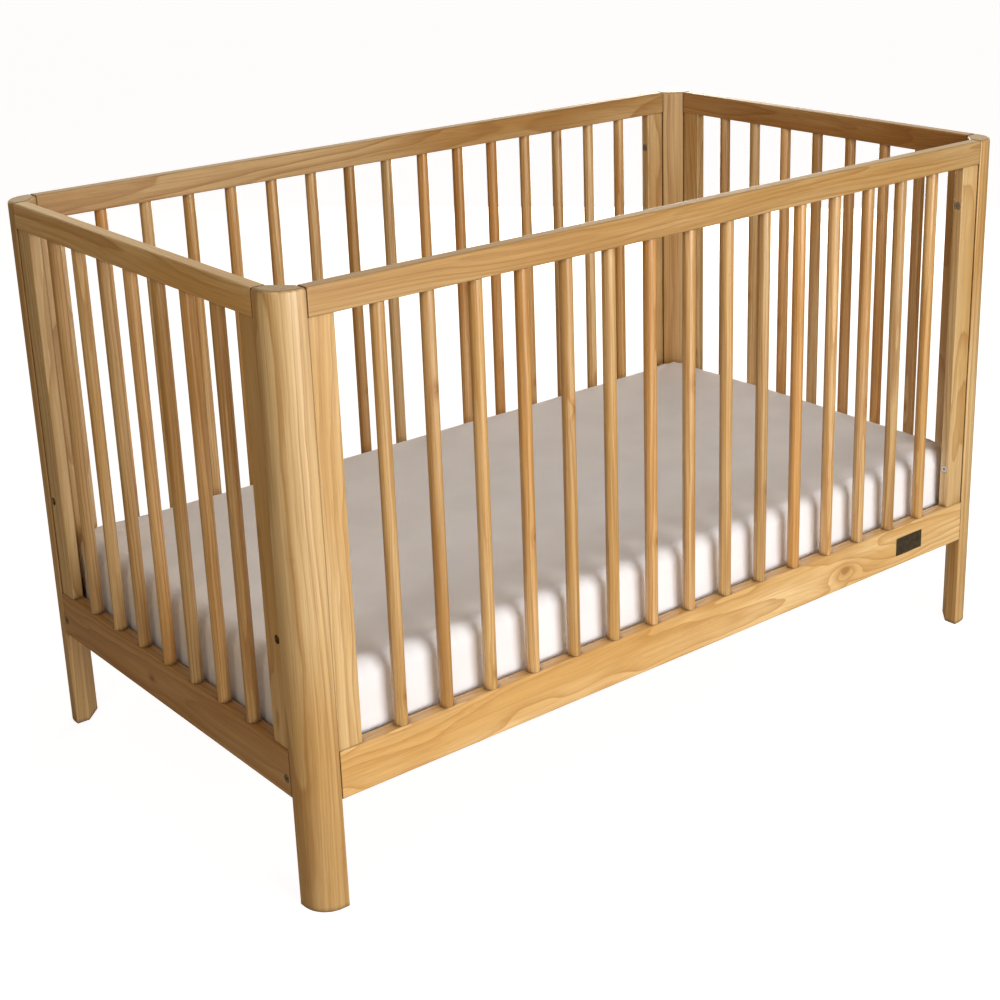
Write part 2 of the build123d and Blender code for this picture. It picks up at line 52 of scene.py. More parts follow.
class Graph:
    """Builds a shader node tree from short expressions."""

    def __init__(self, tree):
        self.tree = tree

    def plug(self, socket, value):
        if isinstance(value, bpy.types.NodeSocket):
            self.tree.links.new(value, socket)
        else:
            socket.default_value = value

    def new(self, kind, inputs=None, **settings):
        node = self.tree.nodes.new(kind)
        for name, value in settings.items():
            setattr(node, name, value)
        for key, value in (inputs or {}).items():
            self.plug(node.inputs[key], value)
        return node

    def math(self, operation, *values):
        node = self.new("ShaderNodeMath", operation=operation)
        for i, value in enumerate(values):
            self.plug(node.inputs[i], value)
        return node.outputs[0]

    def vector(self, operation, *values):
        node = self.new("ShaderNodeVectorMath", operation=operation)
        for i, value in enumerate(values):
            self.plug(node.inputs[i], value)
        return node.outputs["Value" if operation in ("LENGTH", "DOT_PRODUCT") else "Vector"]

    def join(self, x, y, z):
        return self.new("ShaderNodeCombineXYZ", {"X": x, "Y": y, "Z": z}).outputs[0]

    def spread(self, value):
        """The same value on all three axes."""
        return self.join(value, value, value)

    def split(self, vector):
        return self.new("ShaderNodeSeparateXYZ", {0: vector}).outputs

    def noise(self, vector, detail=2.0, roughness=0.5, output="Fac"):
        inputs = {"Vector": vector, "Scale": 1.0, "Detail": detail, "Roughness": roughness}
        return self.new("ShaderNodeTexNoise", inputs).outputs[output]

    def stretch(self, value, low, high, out_low=0.0, out_high=1.0, kind="SMOOTHSTEP"):
        inputs = {"Value": value, "From Min": low, "From Max": high, "To Min": out_low, "To Max": out_high}
        return self.new("ShaderNodeMapRange", inputs, interpolation_type=kind).outputs["Result"]

    def chance(self, number):
        """A random value and colour that depend only on a number."""
        return self.new("ShaderNodeTexWhiteNoise", {"W": number}, noise_dimensions="1D").outputs

    def mix(self, factor, a, b, blend="MIX"):
        # a Mix node's sockets for colours
        factor_in, a_in, b_in, result_out = 0, 6, 7, 2
        node = self.new("ShaderNodeMix", data_type="RGBA", blend_type=blend)
        self.plug(node.inputs[factor_in], factor)
        self.plug(node.inputs[a_in], a)
        self.plug(node.inputs[b_in], b)
        return node.outputs[result_out]


def new_material(name):
    material = bpy.data.materials.new(name)
    material.use_nodes = True
    material.node_tree.nodes.clear()
    return material, Graph(material.node_tree)


def shade(graph, colour, roughness, height, bump_distance, bump_strength, **constants):
    """Ends a material with one Principled shader and a bump."""
    bump = graph.new("ShaderNodeBump", {"Height": height, "Distance": bump_distance, "Strength": bump_strength})
    inputs = {"Base Color": colour, "Roughness": roughness, "Normal": bump.outputs[0]}
    inputs.update({name.replace("_", " "): value for name, value in constants.items()})
    shader = graph.new("ShaderNodeBsdfPrincipled", inputs)
    graph.new("ShaderNodeOutputMaterial", {"Surface": shader.outputs[0]})


# ---------------------------------------------------------------- pine

# Places in a board are (along the grain, across the face, through the thickness).
GRAIN_ORDERS = {"x_rail": "XZY", "y_rail": "YZX", "x_stile": "ZXY", "y_stile": "ZYX", "post": "ZXY",
                "flat_y": "YXZ", "flat_x": "XYZ"}

# two ends of a range, where there are two
EARLYWOOD = (0.610, 0.365, 0.118, 1.0), (0.775, 0.562, 0.280, 1.0)
LATEWOOD = (0.370, 0.165, 0.032, 1.0), (0.480, 0.240, 0.058, 1.0)
KNOT_WOOD = (0.240, 0.105, 0.026, 1.0), (0.330, 0.155, 0.040, 1.0)
KNOT_HALO = (0.420, 0.195, 0.045, 1.0)
STREAK = (0.415, 0.215, 0.062, 1.0)
DARK_STRAND = (0.340, 0.160, 0.040, 1.0)
PALE_STRAND = (0.780, 0.560, 0.290, 1.0)
FIBRE = (0.330, 0.150, 0.045, 1.0)
RESIN_CANAL = (0.190, 0.075, 0.022, 1.0)
REDDENED = (1.0, 0.80, 0.60, 1.0)
END_GRAIN = (0.120, 0.048, 0.012, 1.0)
# colour of the painted shade in corners and between parts
PAINTED_SHADE_COLOUR = (0.080, 0.034, 0.010, 1.0)
# painted shade: the wood darkens in corners and in gaps between parts narrower than this, found by ambient
# occlusion
PAINTED_SHADE_REACH = 0.0100
LACQUER_ROUGHNESS = 0.13
LACQUER_IOR = 1.5
WOOD_RELIEF = 0.00022
WOOD_RELIEF_STRENGTH = 0.55
# how much lacquer a board carries, from 0 to 1
LACQUERED = 0.5
THINLY_LACQUERED = 0.05
BARE = 0.0


def board_coordinates(graph, order):
    """Object coordinates in the board's own order of axes, and how far the surface faces along the grain."""
    here = graph.new("ShaderNodeTexCoord").outputs
    parts = graph.split(here["Object"])
    facing = graph.math("ABSOLUTE", graph.split(here["Normal"])[order[0]])
    return graph.join(*(parts[axis] for axis in order)), facing


def make_pine_group():
    """Growth rings around a pith, with latewood lines, fibres, resin canals and knots."""
    group = bpy.data.node_groups.new("pine", "ShaderNodeTree")
    for name in ("Board", "Pith", "Seed"):
        group.interface.new_socket(name, in_out="INPUT", socket_type="NodeSocketVector")
    for name in ("Spacing", "Wander", "Lift", "Knot", "Knot ring", "Tone", "Contrast", "Figure", "Thin",
                 "Strands", "Blush", "End"):
        group.interface.new_socket(name, in_out="INPUT", socket_type="NodeSocketFloat")
    group.interface.new_socket("Color", in_out="OUTPUT", socket_type="NodeSocketColor")
    for name in ("Roughness", "Height"):
        group.interface.new_socket(name, in_out="OUTPUT", socket_type="NodeSocketFloat")
    g = Graph(group)
    given = g.new("NodeGroupInput").outputs
    board, seed = given["Board"], given["Seed"]
    seeded = g.vector("ADD", board, seed)

    def sway(scale, detail, roughness, reach):
        """A bend of the grain to either side, reach metres from one extreme to the other."""
        bend = g.noise(g.vector("MULTIPLY", seeded, scale), detail, roughness, "Color")
        return g.vector("MULTIPLY", g.vector("SUBTRACT", bend, (0.5, 0.5, 0.5)), (0.0, reach, reach))

    slow = g.vector("MULTIPLY", sway((1.5, 7.0, 7.0), 1.0, 0.4, 0.075), g.spread(given["Wander"]))
    fine = sway((9.0, 42.0, 42.0), 2.0, 0.5, 0.0035)
    wild = g.vector("MULTIPLY", sway((4.2, 17.0, 17.0), 2.0, 0.45, 0.034), g.spread(given["Figure"]))
    bent = g.vector("ADD", g.vector("ADD", g.vector("SUBTRACT", board, given["Pith"]), slow), fine)
    bent = g.vector("ADD", bent, wild)
    bent_seeded = g.vector("ADD", bent, seed)
    across = g.vector("MULTIPLY", bent, (0.0, 1.0, 1.0))
    radius = g.math("ADD", g.vector("LENGTH", across), given["Lift"])

    years = g.math("DIVIDE", radius, given["Spacing"])
    uneven = g.noise(g.join(g.math("MULTIPLY", years, 0.45), g.split(seed)["X"], 0.0), 1.0)
    years = g.math("ADD", years, g.math("MULTIPLY", uneven, 1.7))
    season = g.math("FRACT", years)
    late = g.math("MULTIPLY", g.math("POWER", season, given["Thin"]), g.stretch(season, 0.94, 1.0, 1.0, 0.0))
    year_strength = g.chance(g.math("FLOOR", years))["Value"]
    late = g.math("MULTIPLY", late, g.stretch(year_strength, 0.0, 1.0, 0.55, 1.0, "LINEAR"))

    fibres = g.noise(g.vector("MULTIPLY", seeded, (7.0, 900.0, 900.0)), 3.0, 0.6)
    streaks = g.noise(g.vector("MULTIPLY", seeded, (2.4, 130.0, 130.0)), 3.0, 0.55)
    strands = g.noise(g.vector("MULTIPLY", bent_seeded, (3.6, 330.0, 330.0)), 3.0, 0.62)
    canals = g.noise(g.vector("MULTIPLY", seeded, (55.0, 1500.0, 1500.0)), 1.0, 0.4)
    canals = g.math("MULTIPLY", g.stretch(canals, 0.68, 0.76), g.stretch(late, 0.1, 0.5, 0.35, 0.9))
    patches = g.noise(g.vector("MULTIPLY", seeded, (1.7, 11.0, 11.0)), 2.0, 0.5)

    early_colour = g.mix(g.stretch(patches, 0.36, 0.64), *EARLYWOOD)
    late_colour = g.mix(streaks, *LATEWOOD)
    colour = g.mix(g.math("MULTIPLY", late, given["Contrast"]), early_colour, late_colour)
    streaked = g.math("MULTIPLY", g.stretch(streaks, 0.40, 0.72, 0.0, 0.90), given["Strands"])
    colour = g.mix(streaked, colour, STREAK)
    dark_strands = g.math("MULTIPLY", g.stretch(strands, 0.44, 0.68, 0.0, 1.0), given["Strands"])
    colour = g.mix(dark_strands, colour, DARK_STRAND)
    pale_strands = g.math("MULTIPLY", g.stretch(strands, 0.30, 0.46, 0.50, 0.0), given["Strands"])
    colour = g.mix(pale_strands, colour, PALE_STRAND)
    colour = g.mix(g.stretch(fibres, 0.40, 0.80, 0.0, 0.24), colour, FIBRE)
    colour = g.mix(g.math("MULTIPLY", canals, 0.55), colour, RESIN_CANAL)

    knot_rings = g.math("FRACT", g.math("MULTIPLY", given["Knot ring"], 4.0))
    knot_colour = g.mix(knot_rings, *KNOT_WOOD)
    halo = g.stretch(given["Knot ring"], 0.6, 3.0, 0.50, 0.0)
    colour = g.mix(halo, colour, KNOT_HALO)
    colour = g.mix(g.math("MULTIPLY", given["Knot"], 0.72), colour, knot_colour)
    colour = g.mix(1.0, colour, g.spread(given["Tone"]), "MULTIPLY")
    colour = g.mix(given["Blush"], colour, REDDENED, "MULTIPLY")
    colour = g.mix(g.stretch(given["End"], 0.20, 0.80, 0.0, 0.90), colour, END_GRAIN)
    # painted shade: darker in corners and between parts, from ambient occlusion
    painted_shade = g.new("ShaderNodeAmbientOcclusion", {"Distance": PAINTED_SHADE_REACH}, samples=5).outputs["AO"]
    colour = g.mix(g.stretch(painted_shade, 0.42, 0.93, 0.96, 0.0), colour, PAINTED_SHADE_COLOUR)

    roughness = g.math("ADD", 0.40, g.math("MULTIPLY", late, -0.07))
    roughness = g.math("ADD", roughness, g.math("MULTIPLY", fibres, 0.16))
    height = g.math("ADD", g.math("MULTIPLY", late, 0.55), g.math("MULTIPLY", fibres, 0.50))
    height = g.math("SUBTRACT", height, g.math("MULTIPLY", canals, 0.6))
    height = g.math("ADD", height, g.math("MULTIPLY", given["Knot"], 0.5))
    g.new("NodeGroupOutput", {"Color": colour, "Roughness": roughness, "Height": height})
    return group


PINE = make_pine_group()
NO_KNOT_DISTANCE = 9.0


def knots_in_board(graph, board, knots):
    """(lift of the rings, knot mask, distance in knot radii) for knots given as (along, across, radius)."""
    lift, mask, nearest = 0.0, 0.0, NO_KNOT_DISTANCE
    wobble = graph.noise(graph.vector("MULTIPLY", board, (60.0, 60.0, 60.0)), 2.0, 0.5)
    for along, across, radius in knots:
        offset = graph.vector("SUBTRACT", board, (along, across, 0.0))
        offset = graph.vector("MULTIPLY", offset, (0.62 / radius, 1.0 / radius, 0.0))
        distance = graph.vector("LENGTH", offset)
        distance = graph.math("ADD", distance, graph.math("MULTIPLY", graph.math("SUBTRACT", wobble, 0.5), 0.7))
        pushed = graph.math("EXPONENT", graph.math("MULTIPLY", graph.math("POWER", distance, 2.0), -0.16))
        lift = graph.math("ADD", lift, graph.math("MULTIPLY", pushed, 1.3 * radius))
        mask = graph.math("MAXIMUM", mask, graph.stretch(distance, 0.45, 1.10, 1.0, 0.0))
        nearest = graph.math("MINIMUM", nearest, distance)
    return lift, mask, nearest


def finish_pine(graph, inputs, polish):
    wood = graph.new("ShaderNodeGroup", node_tree=PINE)
    for name, value in inputs.items():
        graph.plug(wood.inputs[name], value)
    out = wood.outputs
    shade(graph, out["Color"], out["Roughness"], out["Height"], WOOD_RELIEF, WOOD_RELIEF_STRENGTH,
          Coat_Weight=polish, Coat_Roughness=LACQUER_ROUGHNESS, IOR=LACQUER_IOR)


def pine_board(name, order, pith, spacing, wander, knots, tone, contrast, polish=LACQUERED, figure=0.3,
               thin=2.6, strands=0.3, blush=0.0, end=1.0):
    """A sawn board of pine. pith is (across, through), the middle of the rings, which are a spacing apart.
    wander, contrast, figure, strands, blush and end say how much the rings drift, the latewood stands out, the
    rings bend in waves, strands show, the wood is red and its end grain is dark. thin narrows the latewood."""
    material, graph = new_material(name)
    board, facing = board_coordinates(graph, GRAIN_ORDERS[order])
    draw = random.Random(name)
    seed = tuple(draw.uniform(-40.0, 40.0) for _ in range(3))
    lift, mask, nearest = knots_in_board(graph, board, knots)
    finish_pine(graph, {"Board": board, "Pith": (0.0, *pith), "Seed": seed, "Spacing": spacing,
                        "Wander": wander, "Lift": lift, "Knot": mask, "Knot ring": nearest, "Tone": tone,
                        "Contrast": contrast, "Figure": figure, "Thin": thin, "Strands": strands,
                        "Blush": blush, "End": graph.math("MULTIPLY", facing, end)}, polish)
    return material


# height and place across of the spindles' knots, and the scale that makes a knot longer than it is wide
KNOT_HEIGHTS = (0.10, 0.95)
KNOT_ACROSS = 0.003
KNOT_SCALE = (130.0, 260.0, 0.0)
SPINDLE_RINGS = 0.0052


def pine_spindles(name, along_x, pitch, side_depth):
    """A row of turned spindles, each from its own piece of wood, with its own hue and a small knot."""
    material, graph = new_material(name)
    x, y, z = graph.split(graph.new("ShaderNodeTexCoord").outputs["Object"])
    run, depth = (x, y) if along_x else (y, x)
    number = graph.math("ROUND", graph.math("DIVIDE", run, pitch))
    draw = random.Random(name)
    own_number = graph.math("ADD", number, float(draw.randrange(100, 900)))
    other = graph.chance(graph.math("ADD", own_number, 51.5))
    red, green, blue = graph.split(graph.chance(own_number)["Color"])
    from_axis = graph.math("SUBTRACT", run, graph.math("MULTIPLY", number, pitch))
    inward = graph.math("SUBTRACT", depth, side_depth)
    board = graph.join(z, from_axis, inward)
    pith = graph.join(0.0, graph.stretch(red, 0.0, 1.0, -0.060, 0.060, "LINEAR"),
                      graph.stretch(green, 0.0, 1.0, 0.012, 0.070, "LINEAR"))
    seed = graph.vector("MULTIPLY", other["Color"], (37.0, 29.0, 31.0))
    knot_height = graph.stretch(blue, 0.0, 1.0, *KNOT_HEIGHTS, "LINEAR")
    offset = graph.join(graph.math("SUBTRACT", z, knot_height),
                        graph.math("SUBTRACT", from_axis, KNOT_ACROSS), 0.0)
    distance = graph.vector("LENGTH", graph.vector("MULTIPLY", offset, KNOT_SCALE))
    mask = graph.stretch(distance, 0.4, 1.10, 0.7, 0.0)
    lift = graph.math("MULTIPLY", graph.math("EXPONENT", graph.math("MULTIPLY", distance, -0.8)), 0.006)
    tone = graph.stretch(other["Value"], 0.0, 1.0, 0.80, 1.12, "LINEAR")
    blush = graph.stretch(green, 0.15, 1.0, 0.0, 0.70, "LINEAR")
    finish_pine(graph, {"Board": board, "Pith": pith, "Seed": seed, "Spacing": SPINDLE_RINGS, "Wander": 0.22,
                        "Lift": lift, "Knot": mask, "Knot ring": distance, "Tone": tone, "Contrast": 1.0,
                        "Figure": 0.16, "Thin": 2.4, "Strands": 0.52, "Blush": blush}, LACQUERED)
    return material


# ---------------------------------------------------------------- metal and cloth


def opaque(colour, share=1.0):
    return tuple(share * c for c in colour) + (1.0,)


def steel(name, colour, roughness, lines=(180.0, 180.0, 180.0), bump=0.00006):
    """Metal with brushed lines, as fine as the lines' scale, and a cloudy surface."""
    material, graph = new_material(name)
    place = graph.new("ShaderNodeTexCoord").outputs["Object"]
    brushed = graph.noise(graph.vector("MULTIPLY", place, lines), 3.0, 0.6)
    cloudy = graph.noise(graph.vector("MULTIPLY", place, (140.0, 140.0, 140.0)), 2.0)
    shown = graph.mix(graph.stretch(cloudy, 0.3, 0.7), opaque(colour, 0.72), opaque(colour))
    rough = graph.math("ADD", roughness - 0.08, graph.math("MULTIPLY", brushed, 0.20))
    shade(graph, shown, rough, brushed, bump, 0.5, Metallic=1.0)
    return material


def cotton(name, colour, thread=0.0011, sheen=0.25):
    """Plain woven cotton: two sets of threads, slubs and a soft nap."""
    material, graph = new_material(name)
    place = graph.new("ShaderNodeTexCoord").outputs["Object"]
    x, y, z = graph.split(place)
    turns = 2.0 * math.pi / thread
    warp = graph.math("SINE", graph.math("MULTIPLY", graph.math("ADD", x, z), turns))
    weft = graph.math("SINE", graph.math("MULTIPLY", graph.math("ADD", y, z), turns))
    weave = graph.math("MULTIPLY", warp, weft)
    slubs = graph.noise(graph.vector("MULTIPLY", place, (60.0, 700.0, 300.0)), 2.0)
    cloudy = graph.noise(graph.vector("MULTIPLY", place, (9.0, 9.0, 9.0)), 3.0)
    shown = graph.mix(graph.stretch(cloudy, 0.3, 0.7), opaque(colour, 0.93), opaque(colour))
    shown = graph.mix(graph.stretch(slubs, 0.55, 0.8, 0.0, 0.25), shown, opaque(colour, 0.86))
    height = graph.math("ADD", graph.math("MULTIPLY", weave, 0.4), graph.math("MULTIPLY", slubs, 0.6))
    rough = graph.math("ADD", 0.82, graph.math("MULTIPLY", cloudy, 0.12))
    shade(graph, shown, rough, height, 0.00018, 0.5, Sheen_Weight=sheen, Sheen_Roughness=0.5)
    return material


# ---------------------------------------------------------------- materials on the CAD nodes


def wear(node, material):
    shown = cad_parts[node]
    for slot in shown.material_slots:
        slot.material = material
    if not shown.material_slots:
        shown.data.materials.append(material)


# distance between spindles on the long sides and the ends, and their depth behind the top rail's outer face
PITCH_LONG = 0.0755
PITCH_END = 0.0765
SPINDLE_DEPTH = 0.011

# distance between growth rings
RAIL_RINGS = 0.0078
POST_RINGS = 0.0074
STILE_RINGS = 0.0076
SLAT_RINGS = 0.0062
BASE_RINGS = 0.0065
DOWEL_RINGS = 0.004

# (tone, redness) of the usual rail, and of the rails and the post that differ from the others of their kind:
# partly each board's own colour and partly painted light and shade, darker and redder on the shaded left bottom
# rail and right top rail, and darker or lighter on the others for how brightly they are lit
USUAL_RAIL = (0.95, 0.2)
BOARD_TONES_AND_PAINTED_LIGHT = {"top_rail_front": (0.80, 0.08), "bottom_rail_front": (1.16, 0.0),
                "top_rail_left": (1.18, 0.0), "bottom_rail_left": (0.74, 0.95),
                "top_rail_back": (0.80, 0.35), "top_rail_right": (0.76, 0.95),
                "post_front_left": (0.90, 0.0)}

# the front bottom rail's knot as (along, across, radius), and how far its pith is from the rail's middle
FRONT_KNOT = (0.340, 0.192, 0.008)
FRONT_PITH = (0.004, 0.050)


def dress_frame():
    outer = {"front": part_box("top_rail_front")[0].y, "back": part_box("top_rail_back")[1].y,
             "left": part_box("top_rail_left")[0].x, "right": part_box("top_rail_right")[1].x}
    for node in sorted(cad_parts):
        draw = random.Random("wood " + node)
        low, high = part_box(node)
        middle = (low + high) / 2
        if node.startswith(("top_rail", "bottom_rail")):
            along_x = node.endswith(("front", "back"))
            top = node.startswith("top")
            through = middle.y if along_x else middle.x
            pith = (middle.z + draw.uniform(-0.02, 0.03),
                    through + draw.choice((-1, 1)) * draw.uniform(0.03, 0.06))
            length = (high.x - low.x) if along_x else (high.y - low.y)
            start = low.x if along_x else low.y
            figure, thin, strands, knots = 0.35, 2.4, 0.32, []
            if node == "bottom_rail_front":
                figure, thin, strands, knots = 1.10, 2.1, 0.22, [FRONT_KNOT]
                pith = (middle.z + FRONT_PITH[0], through + FRONT_PITH[1])
            elif not top:
                figure, strands = 0.72, 0.22
                knots = [(start + length * draw.uniform(0.1, 0.9),
                          low.z + (high.z - low.z) * draw.uniform(0.25, 0.75), draw.uniform(0.003, 0.006))]
            order = "x_rail" if along_x else "y_rail"
            # tone and redness, partly the board's own and partly painted light and shade
            tone, blush = BOARD_TONES_AND_PAINTED_LIGHT.get(node, USUAL_RAIL)
            wear(node, pine_board(node, order, pith, RAIL_RINGS, 1.0, knots, tone, 0.90, figure=figure,
                                  thin=thin, strands=strands, blush=blush))
        elif node.startswith("post"):
            pith = (middle.x + draw.uniform(0.05, 0.09), middle.y + draw.uniform(-0.05, 0.05))
            # the front left post's tone is partly painted light; the other posts' tones differ at random
            tone, blush = BOARD_TONES_AND_PAINTED_LIGHT.get(node, (draw.uniform(0.92, 0.98), 0.1))
            wear(node, pine_board(node, "post", pith, POST_RINGS, 0.30, (), tone, 1.0, figure=0.07,
                                  thin=3.6, strands=0.36, blush=blush, end=0.48))
        elif node.startswith("stile"):
            along_x = node.startswith(("stile_front", "stile_back"))
            across, through = (middle.x, middle.y) if along_x else (middle.y, middle.x)
            pith = (across + draw.uniform(-0.08, 0.08), through + draw.uniform(0.03, 0.07))
            order = "x_stile" if along_x else "y_stile"
            wear(node, pine_board(node, order, pith, STILE_RINGS, 0.7, (), draw.uniform(0.94, 1.03), 0.95,
                                  figure=0.55, thin=2.8, strands=0.26))
        elif node.startswith("spindles"):
            side = node.split("_")[1]
            inward = 1 if side in ("front", "left") else -1
            along_x = side in ("front", "back")
            wear(node, pine_spindles(node, along_x, PITCH_LONG if along_x else PITCH_END,
                                     outer[side] + inward * SPINDLE_DEPTH))
        elif node.startswith("slat_") and node != "slat_screws":
            pith = (middle.x + draw.uniform(-0.03, 0.03), middle.z - draw.uniform(0.02, 0.06))
            wear(node, pine_board(node, "flat_y", pith, SLAT_RINGS, 0.8, (), draw.uniform(1.0, 1.12), 0.55,
                                  BARE))
        elif node.startswith(("base_side", "base_center", "base_end")):
            order, through = ("y_rail", middle.x) if node.startswith("base_end") else ("x_rail", middle.y)
            pith = (middle.z, through + draw.uniform(0.03, 0.06))
            wear(node, pine_board(node, order, pith, BASE_RINGS, 0.8, (), draw.uniform(1.0, 1.1), 0.55,
                                  THINLY_LACQUERED))
        elif node.endswith("dowels"):
            wear(node, pine_board(node, "flat_x", (0.05, 0.03), DOWEL_RINGS, 0.3, (), 1.05, 0.3, BARE))


dress_frame()
BOLT_STEEL = steel("bolt_steel", (0.58, 0.56, 0.52), 0.30)
DARK_BOLT_STEEL = steel("dark_bolt_steel", (0.30, 0.27, 0.23), 0.34)
SCREW_STEEL = steel("screw_steel", (0.60, 0.57, 0.48), 0.32)
BRACKET_STEEL = steel("bracket_steel", (0.56, 0.57, 0.58), 0.36)
BADGE_METAL = steel("badge_metal", (0.17, 0.16, 0.13), 0.34, (30.0, 900.0, 1400.0), 0.00004)
for node in sorted(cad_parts):
    if node == "support_bolts":
        wear(node, DARK_BOLT_STEEL)
    elif node in ("panel_bolts", "support_pegs", "threaded_inserts"):
        wear(node, BOLT_STEEL)
    elif node.endswith("screws"):
        wear(node, SCREW_STEEL)
    elif node.startswith("hook_bracket"):
        wear(node, BRACKET_STEEL)
    elif node == "badge_plate":
        wear(node, BADGE_METAL)

# ---------------------------------------------------------------- mattress and fitted sheet

# radii of the mattress's top and bottom edges and of its corners, seen from above
TOP_ROLL = 0.024
BOTTOM_ROLL = 0.004
CORNER = 0.050
# the sheet's hem under the mattress, and its thickness
HEM_UNDER = 0.060
CLOTH = 0.0009
# steps in a quarter turn of the outline, the top edge, the bottom edge, and the elastic
ARC_STEPS = 12
TOP_STEPS = 8
BOTTOM_STEPS = 4
ELASTIC_STEPS = 6
# distance between vertices of the mattress and of the sheet, and how far inside the sheet the mattress is
CORE_STEP = 0.012
SHEET_STEP = 0.0065
CORE_INSET = 0.0016
# how high each kind of relief in the sheet is
END_RISE = 0.0060
CORNER_PEAK = 0.0050
BROAD_WAVE = 0.0022
DRAG_LINE = 0.0009
CORNER_RAY = 0.0016
GATHER = 0.0013
HANG_WAVE = 0.0016
HANG_BULGE = 0.0042
DEEPEST_DIP = -0.0006


def filled_outline(half_x, half_y, corner, step):
    """Points that fill a rounded rectangle row by row, its faces, the rim's indices in order, and the rim's
    outward directions."""
    turns = np.linspace(0.0, math.pi / 2, ARC_STEPS + 1)
    straight = np.linspace(corner - half_y, half_y - corner, max(2, round(2 * (half_y - corner) / step)))
    bend = half_y - corner + corner * np.sin(turns[1:])
    rows = np.concatenate([-bend[::-1], straight, bend])
    over = np.clip((np.abs(rows) - (half_y - corner)) / corner, 0.0, 1.0)
    reach = half_x - corner + corner * np.sqrt(1.0 - over**2)
    count = max(2, round(2 * half_x / step))
    columns = np.linspace(-1.0, 1.0, count)
    points = np.array([(u * far, y) for y, far in zip(rows, reach) for u in columns])
    last = len(rows) - 1
    rim = list(range(count))
    rim += [r * count + count - 1 for r in range(1, last + 1)]
    rim += [last * count + c for c in range(count - 2, -1, -1)]
    rim += [r * count for r in range(last - 1, 0, -1)]
    outward = []
    for index in rim:
        row, column = divmod(index, count)
        lean = math.copysign(over[row], rows[row])
        side = {0: -1.0, count - 1: 1.0}.get(column, 0.0)
        outward.append((side * math.sqrt(1.0 - over[row] ** 2), lean if over[row] > 0 else 0.0))
    faces = [(r * count + c, r * count + c + 1, (r + 1) * count + c + 1, (r + 1) * count + c)
             for r in range(last) for c in range(count - 1)]
    return points, faces, rim, np.array(outward)


def side_profile(top, bottom, top_roll, bottom_roll, step, hem):
    """(outward offset, height) down a side, from the flat top over its rolled edge to the hem turned under."""
    turns = np.linspace(0.0, math.pi / 2, TOP_STEPS + 1)[1:]
    rows = [(top_roll * math.sin(a), top - top_roll * (1 - math.cos(a))) for a in turns]
    heights = np.linspace(top - top_roll, bottom + bottom_roll, max(3, round((top - bottom) / step)))
    rows += [(top_roll, z) for z in heights[1:]]
    turns = np.linspace(0.0, math.pi / 2, BOTTOM_STEPS + 1)[1:]
    rows += [(top_roll - bottom_roll * (1 - math.cos(a)), bottom + bottom_roll * (1 - math.sin(a)))
             for a in turns]
    widths = np.linspace(0.0, hem, max(3, round(hem / step)))
    return rows + [(top_roll - bottom_roll - width, bottom) for width in widths[1:]]


def block_shell(node, inset, step, closed):
    """The surface of the block that a CAD node fills, a little inside it, as vertices and faces."""
    low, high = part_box(node)
    middle, half = (low + high) / 2, (high - low) / 2
    corner = CORNER - TOP_ROLL
    points, faces, rim, outward = filled_outline(half.x - inset - TOP_ROLL, half.y - inset - TOP_ROLL,
                                                 corner, step)
    top, bottom = high.z - inset, low.z + inset
    vertices = [(middle.x + x, middle.y + y, top) for x, y in points]
    previous = rim
    for offset, height in side_profile(top, bottom, TOP_ROLL, BOTTOM_ROLL, step, HEM_UNDER - inset):
        start = len(vertices)
        for index, direction in zip(rim, outward):
            place = points[index] + direction * offset
            vertices.append((middle.x + place[0], middle.y + place[1], height))
        ring = list(range(start, len(vertices)))
        for k in range(len(ring)):
            after = (k + 1) % len(ring)
            faces.append((previous[after], previous[k], ring[k], ring[after]))
        previous = ring
    if closed:
        faces.append(tuple(previous))
    return np.array(vertices), faces


def mesh_piece(name, vertices, faces, material):
    mesh = bpy.data.meshes.new(name)
    mesh.from_pydata([tuple(map(float, v)) for v in vertices], [], faces)
    mesh.validate()
    mesh.polygons.foreach_set("use_smooth", [True] * len(mesh.polygons))
    mesh.materials.append(material)
    piece = bpy.data.objects.new(name, mesh)
    bpy.context.scene.collection.objects.link(piece)
    return piece


def points_of(piece):
    flat = np.zeros(3 * len(piece.data.vertices))
    piece.data.vertices.foreach_get("co", flat)
    return flat.reshape(-1, 3)


def normals_of(piece):
    flat = np.zeros(3 * len(piece.data.vertices), np.float32)
    piece.data.vertex_normals.foreach_get("vector", flat)
    return flat.reshape(-1, 3)


def set_points(piece, points):
    piece.data.vertices.foreach_set("co", np.asarray(points, np.float32).ravel())
    piece.data.update()


def apply_modifiers(piece):
    shown = piece.evaluated_get(bpy.context.evaluated_depsgraph_get())
    finished = bpy.data.meshes.new_from_object(shown)
    piece.modifiers.clear()
    piece.data = finished


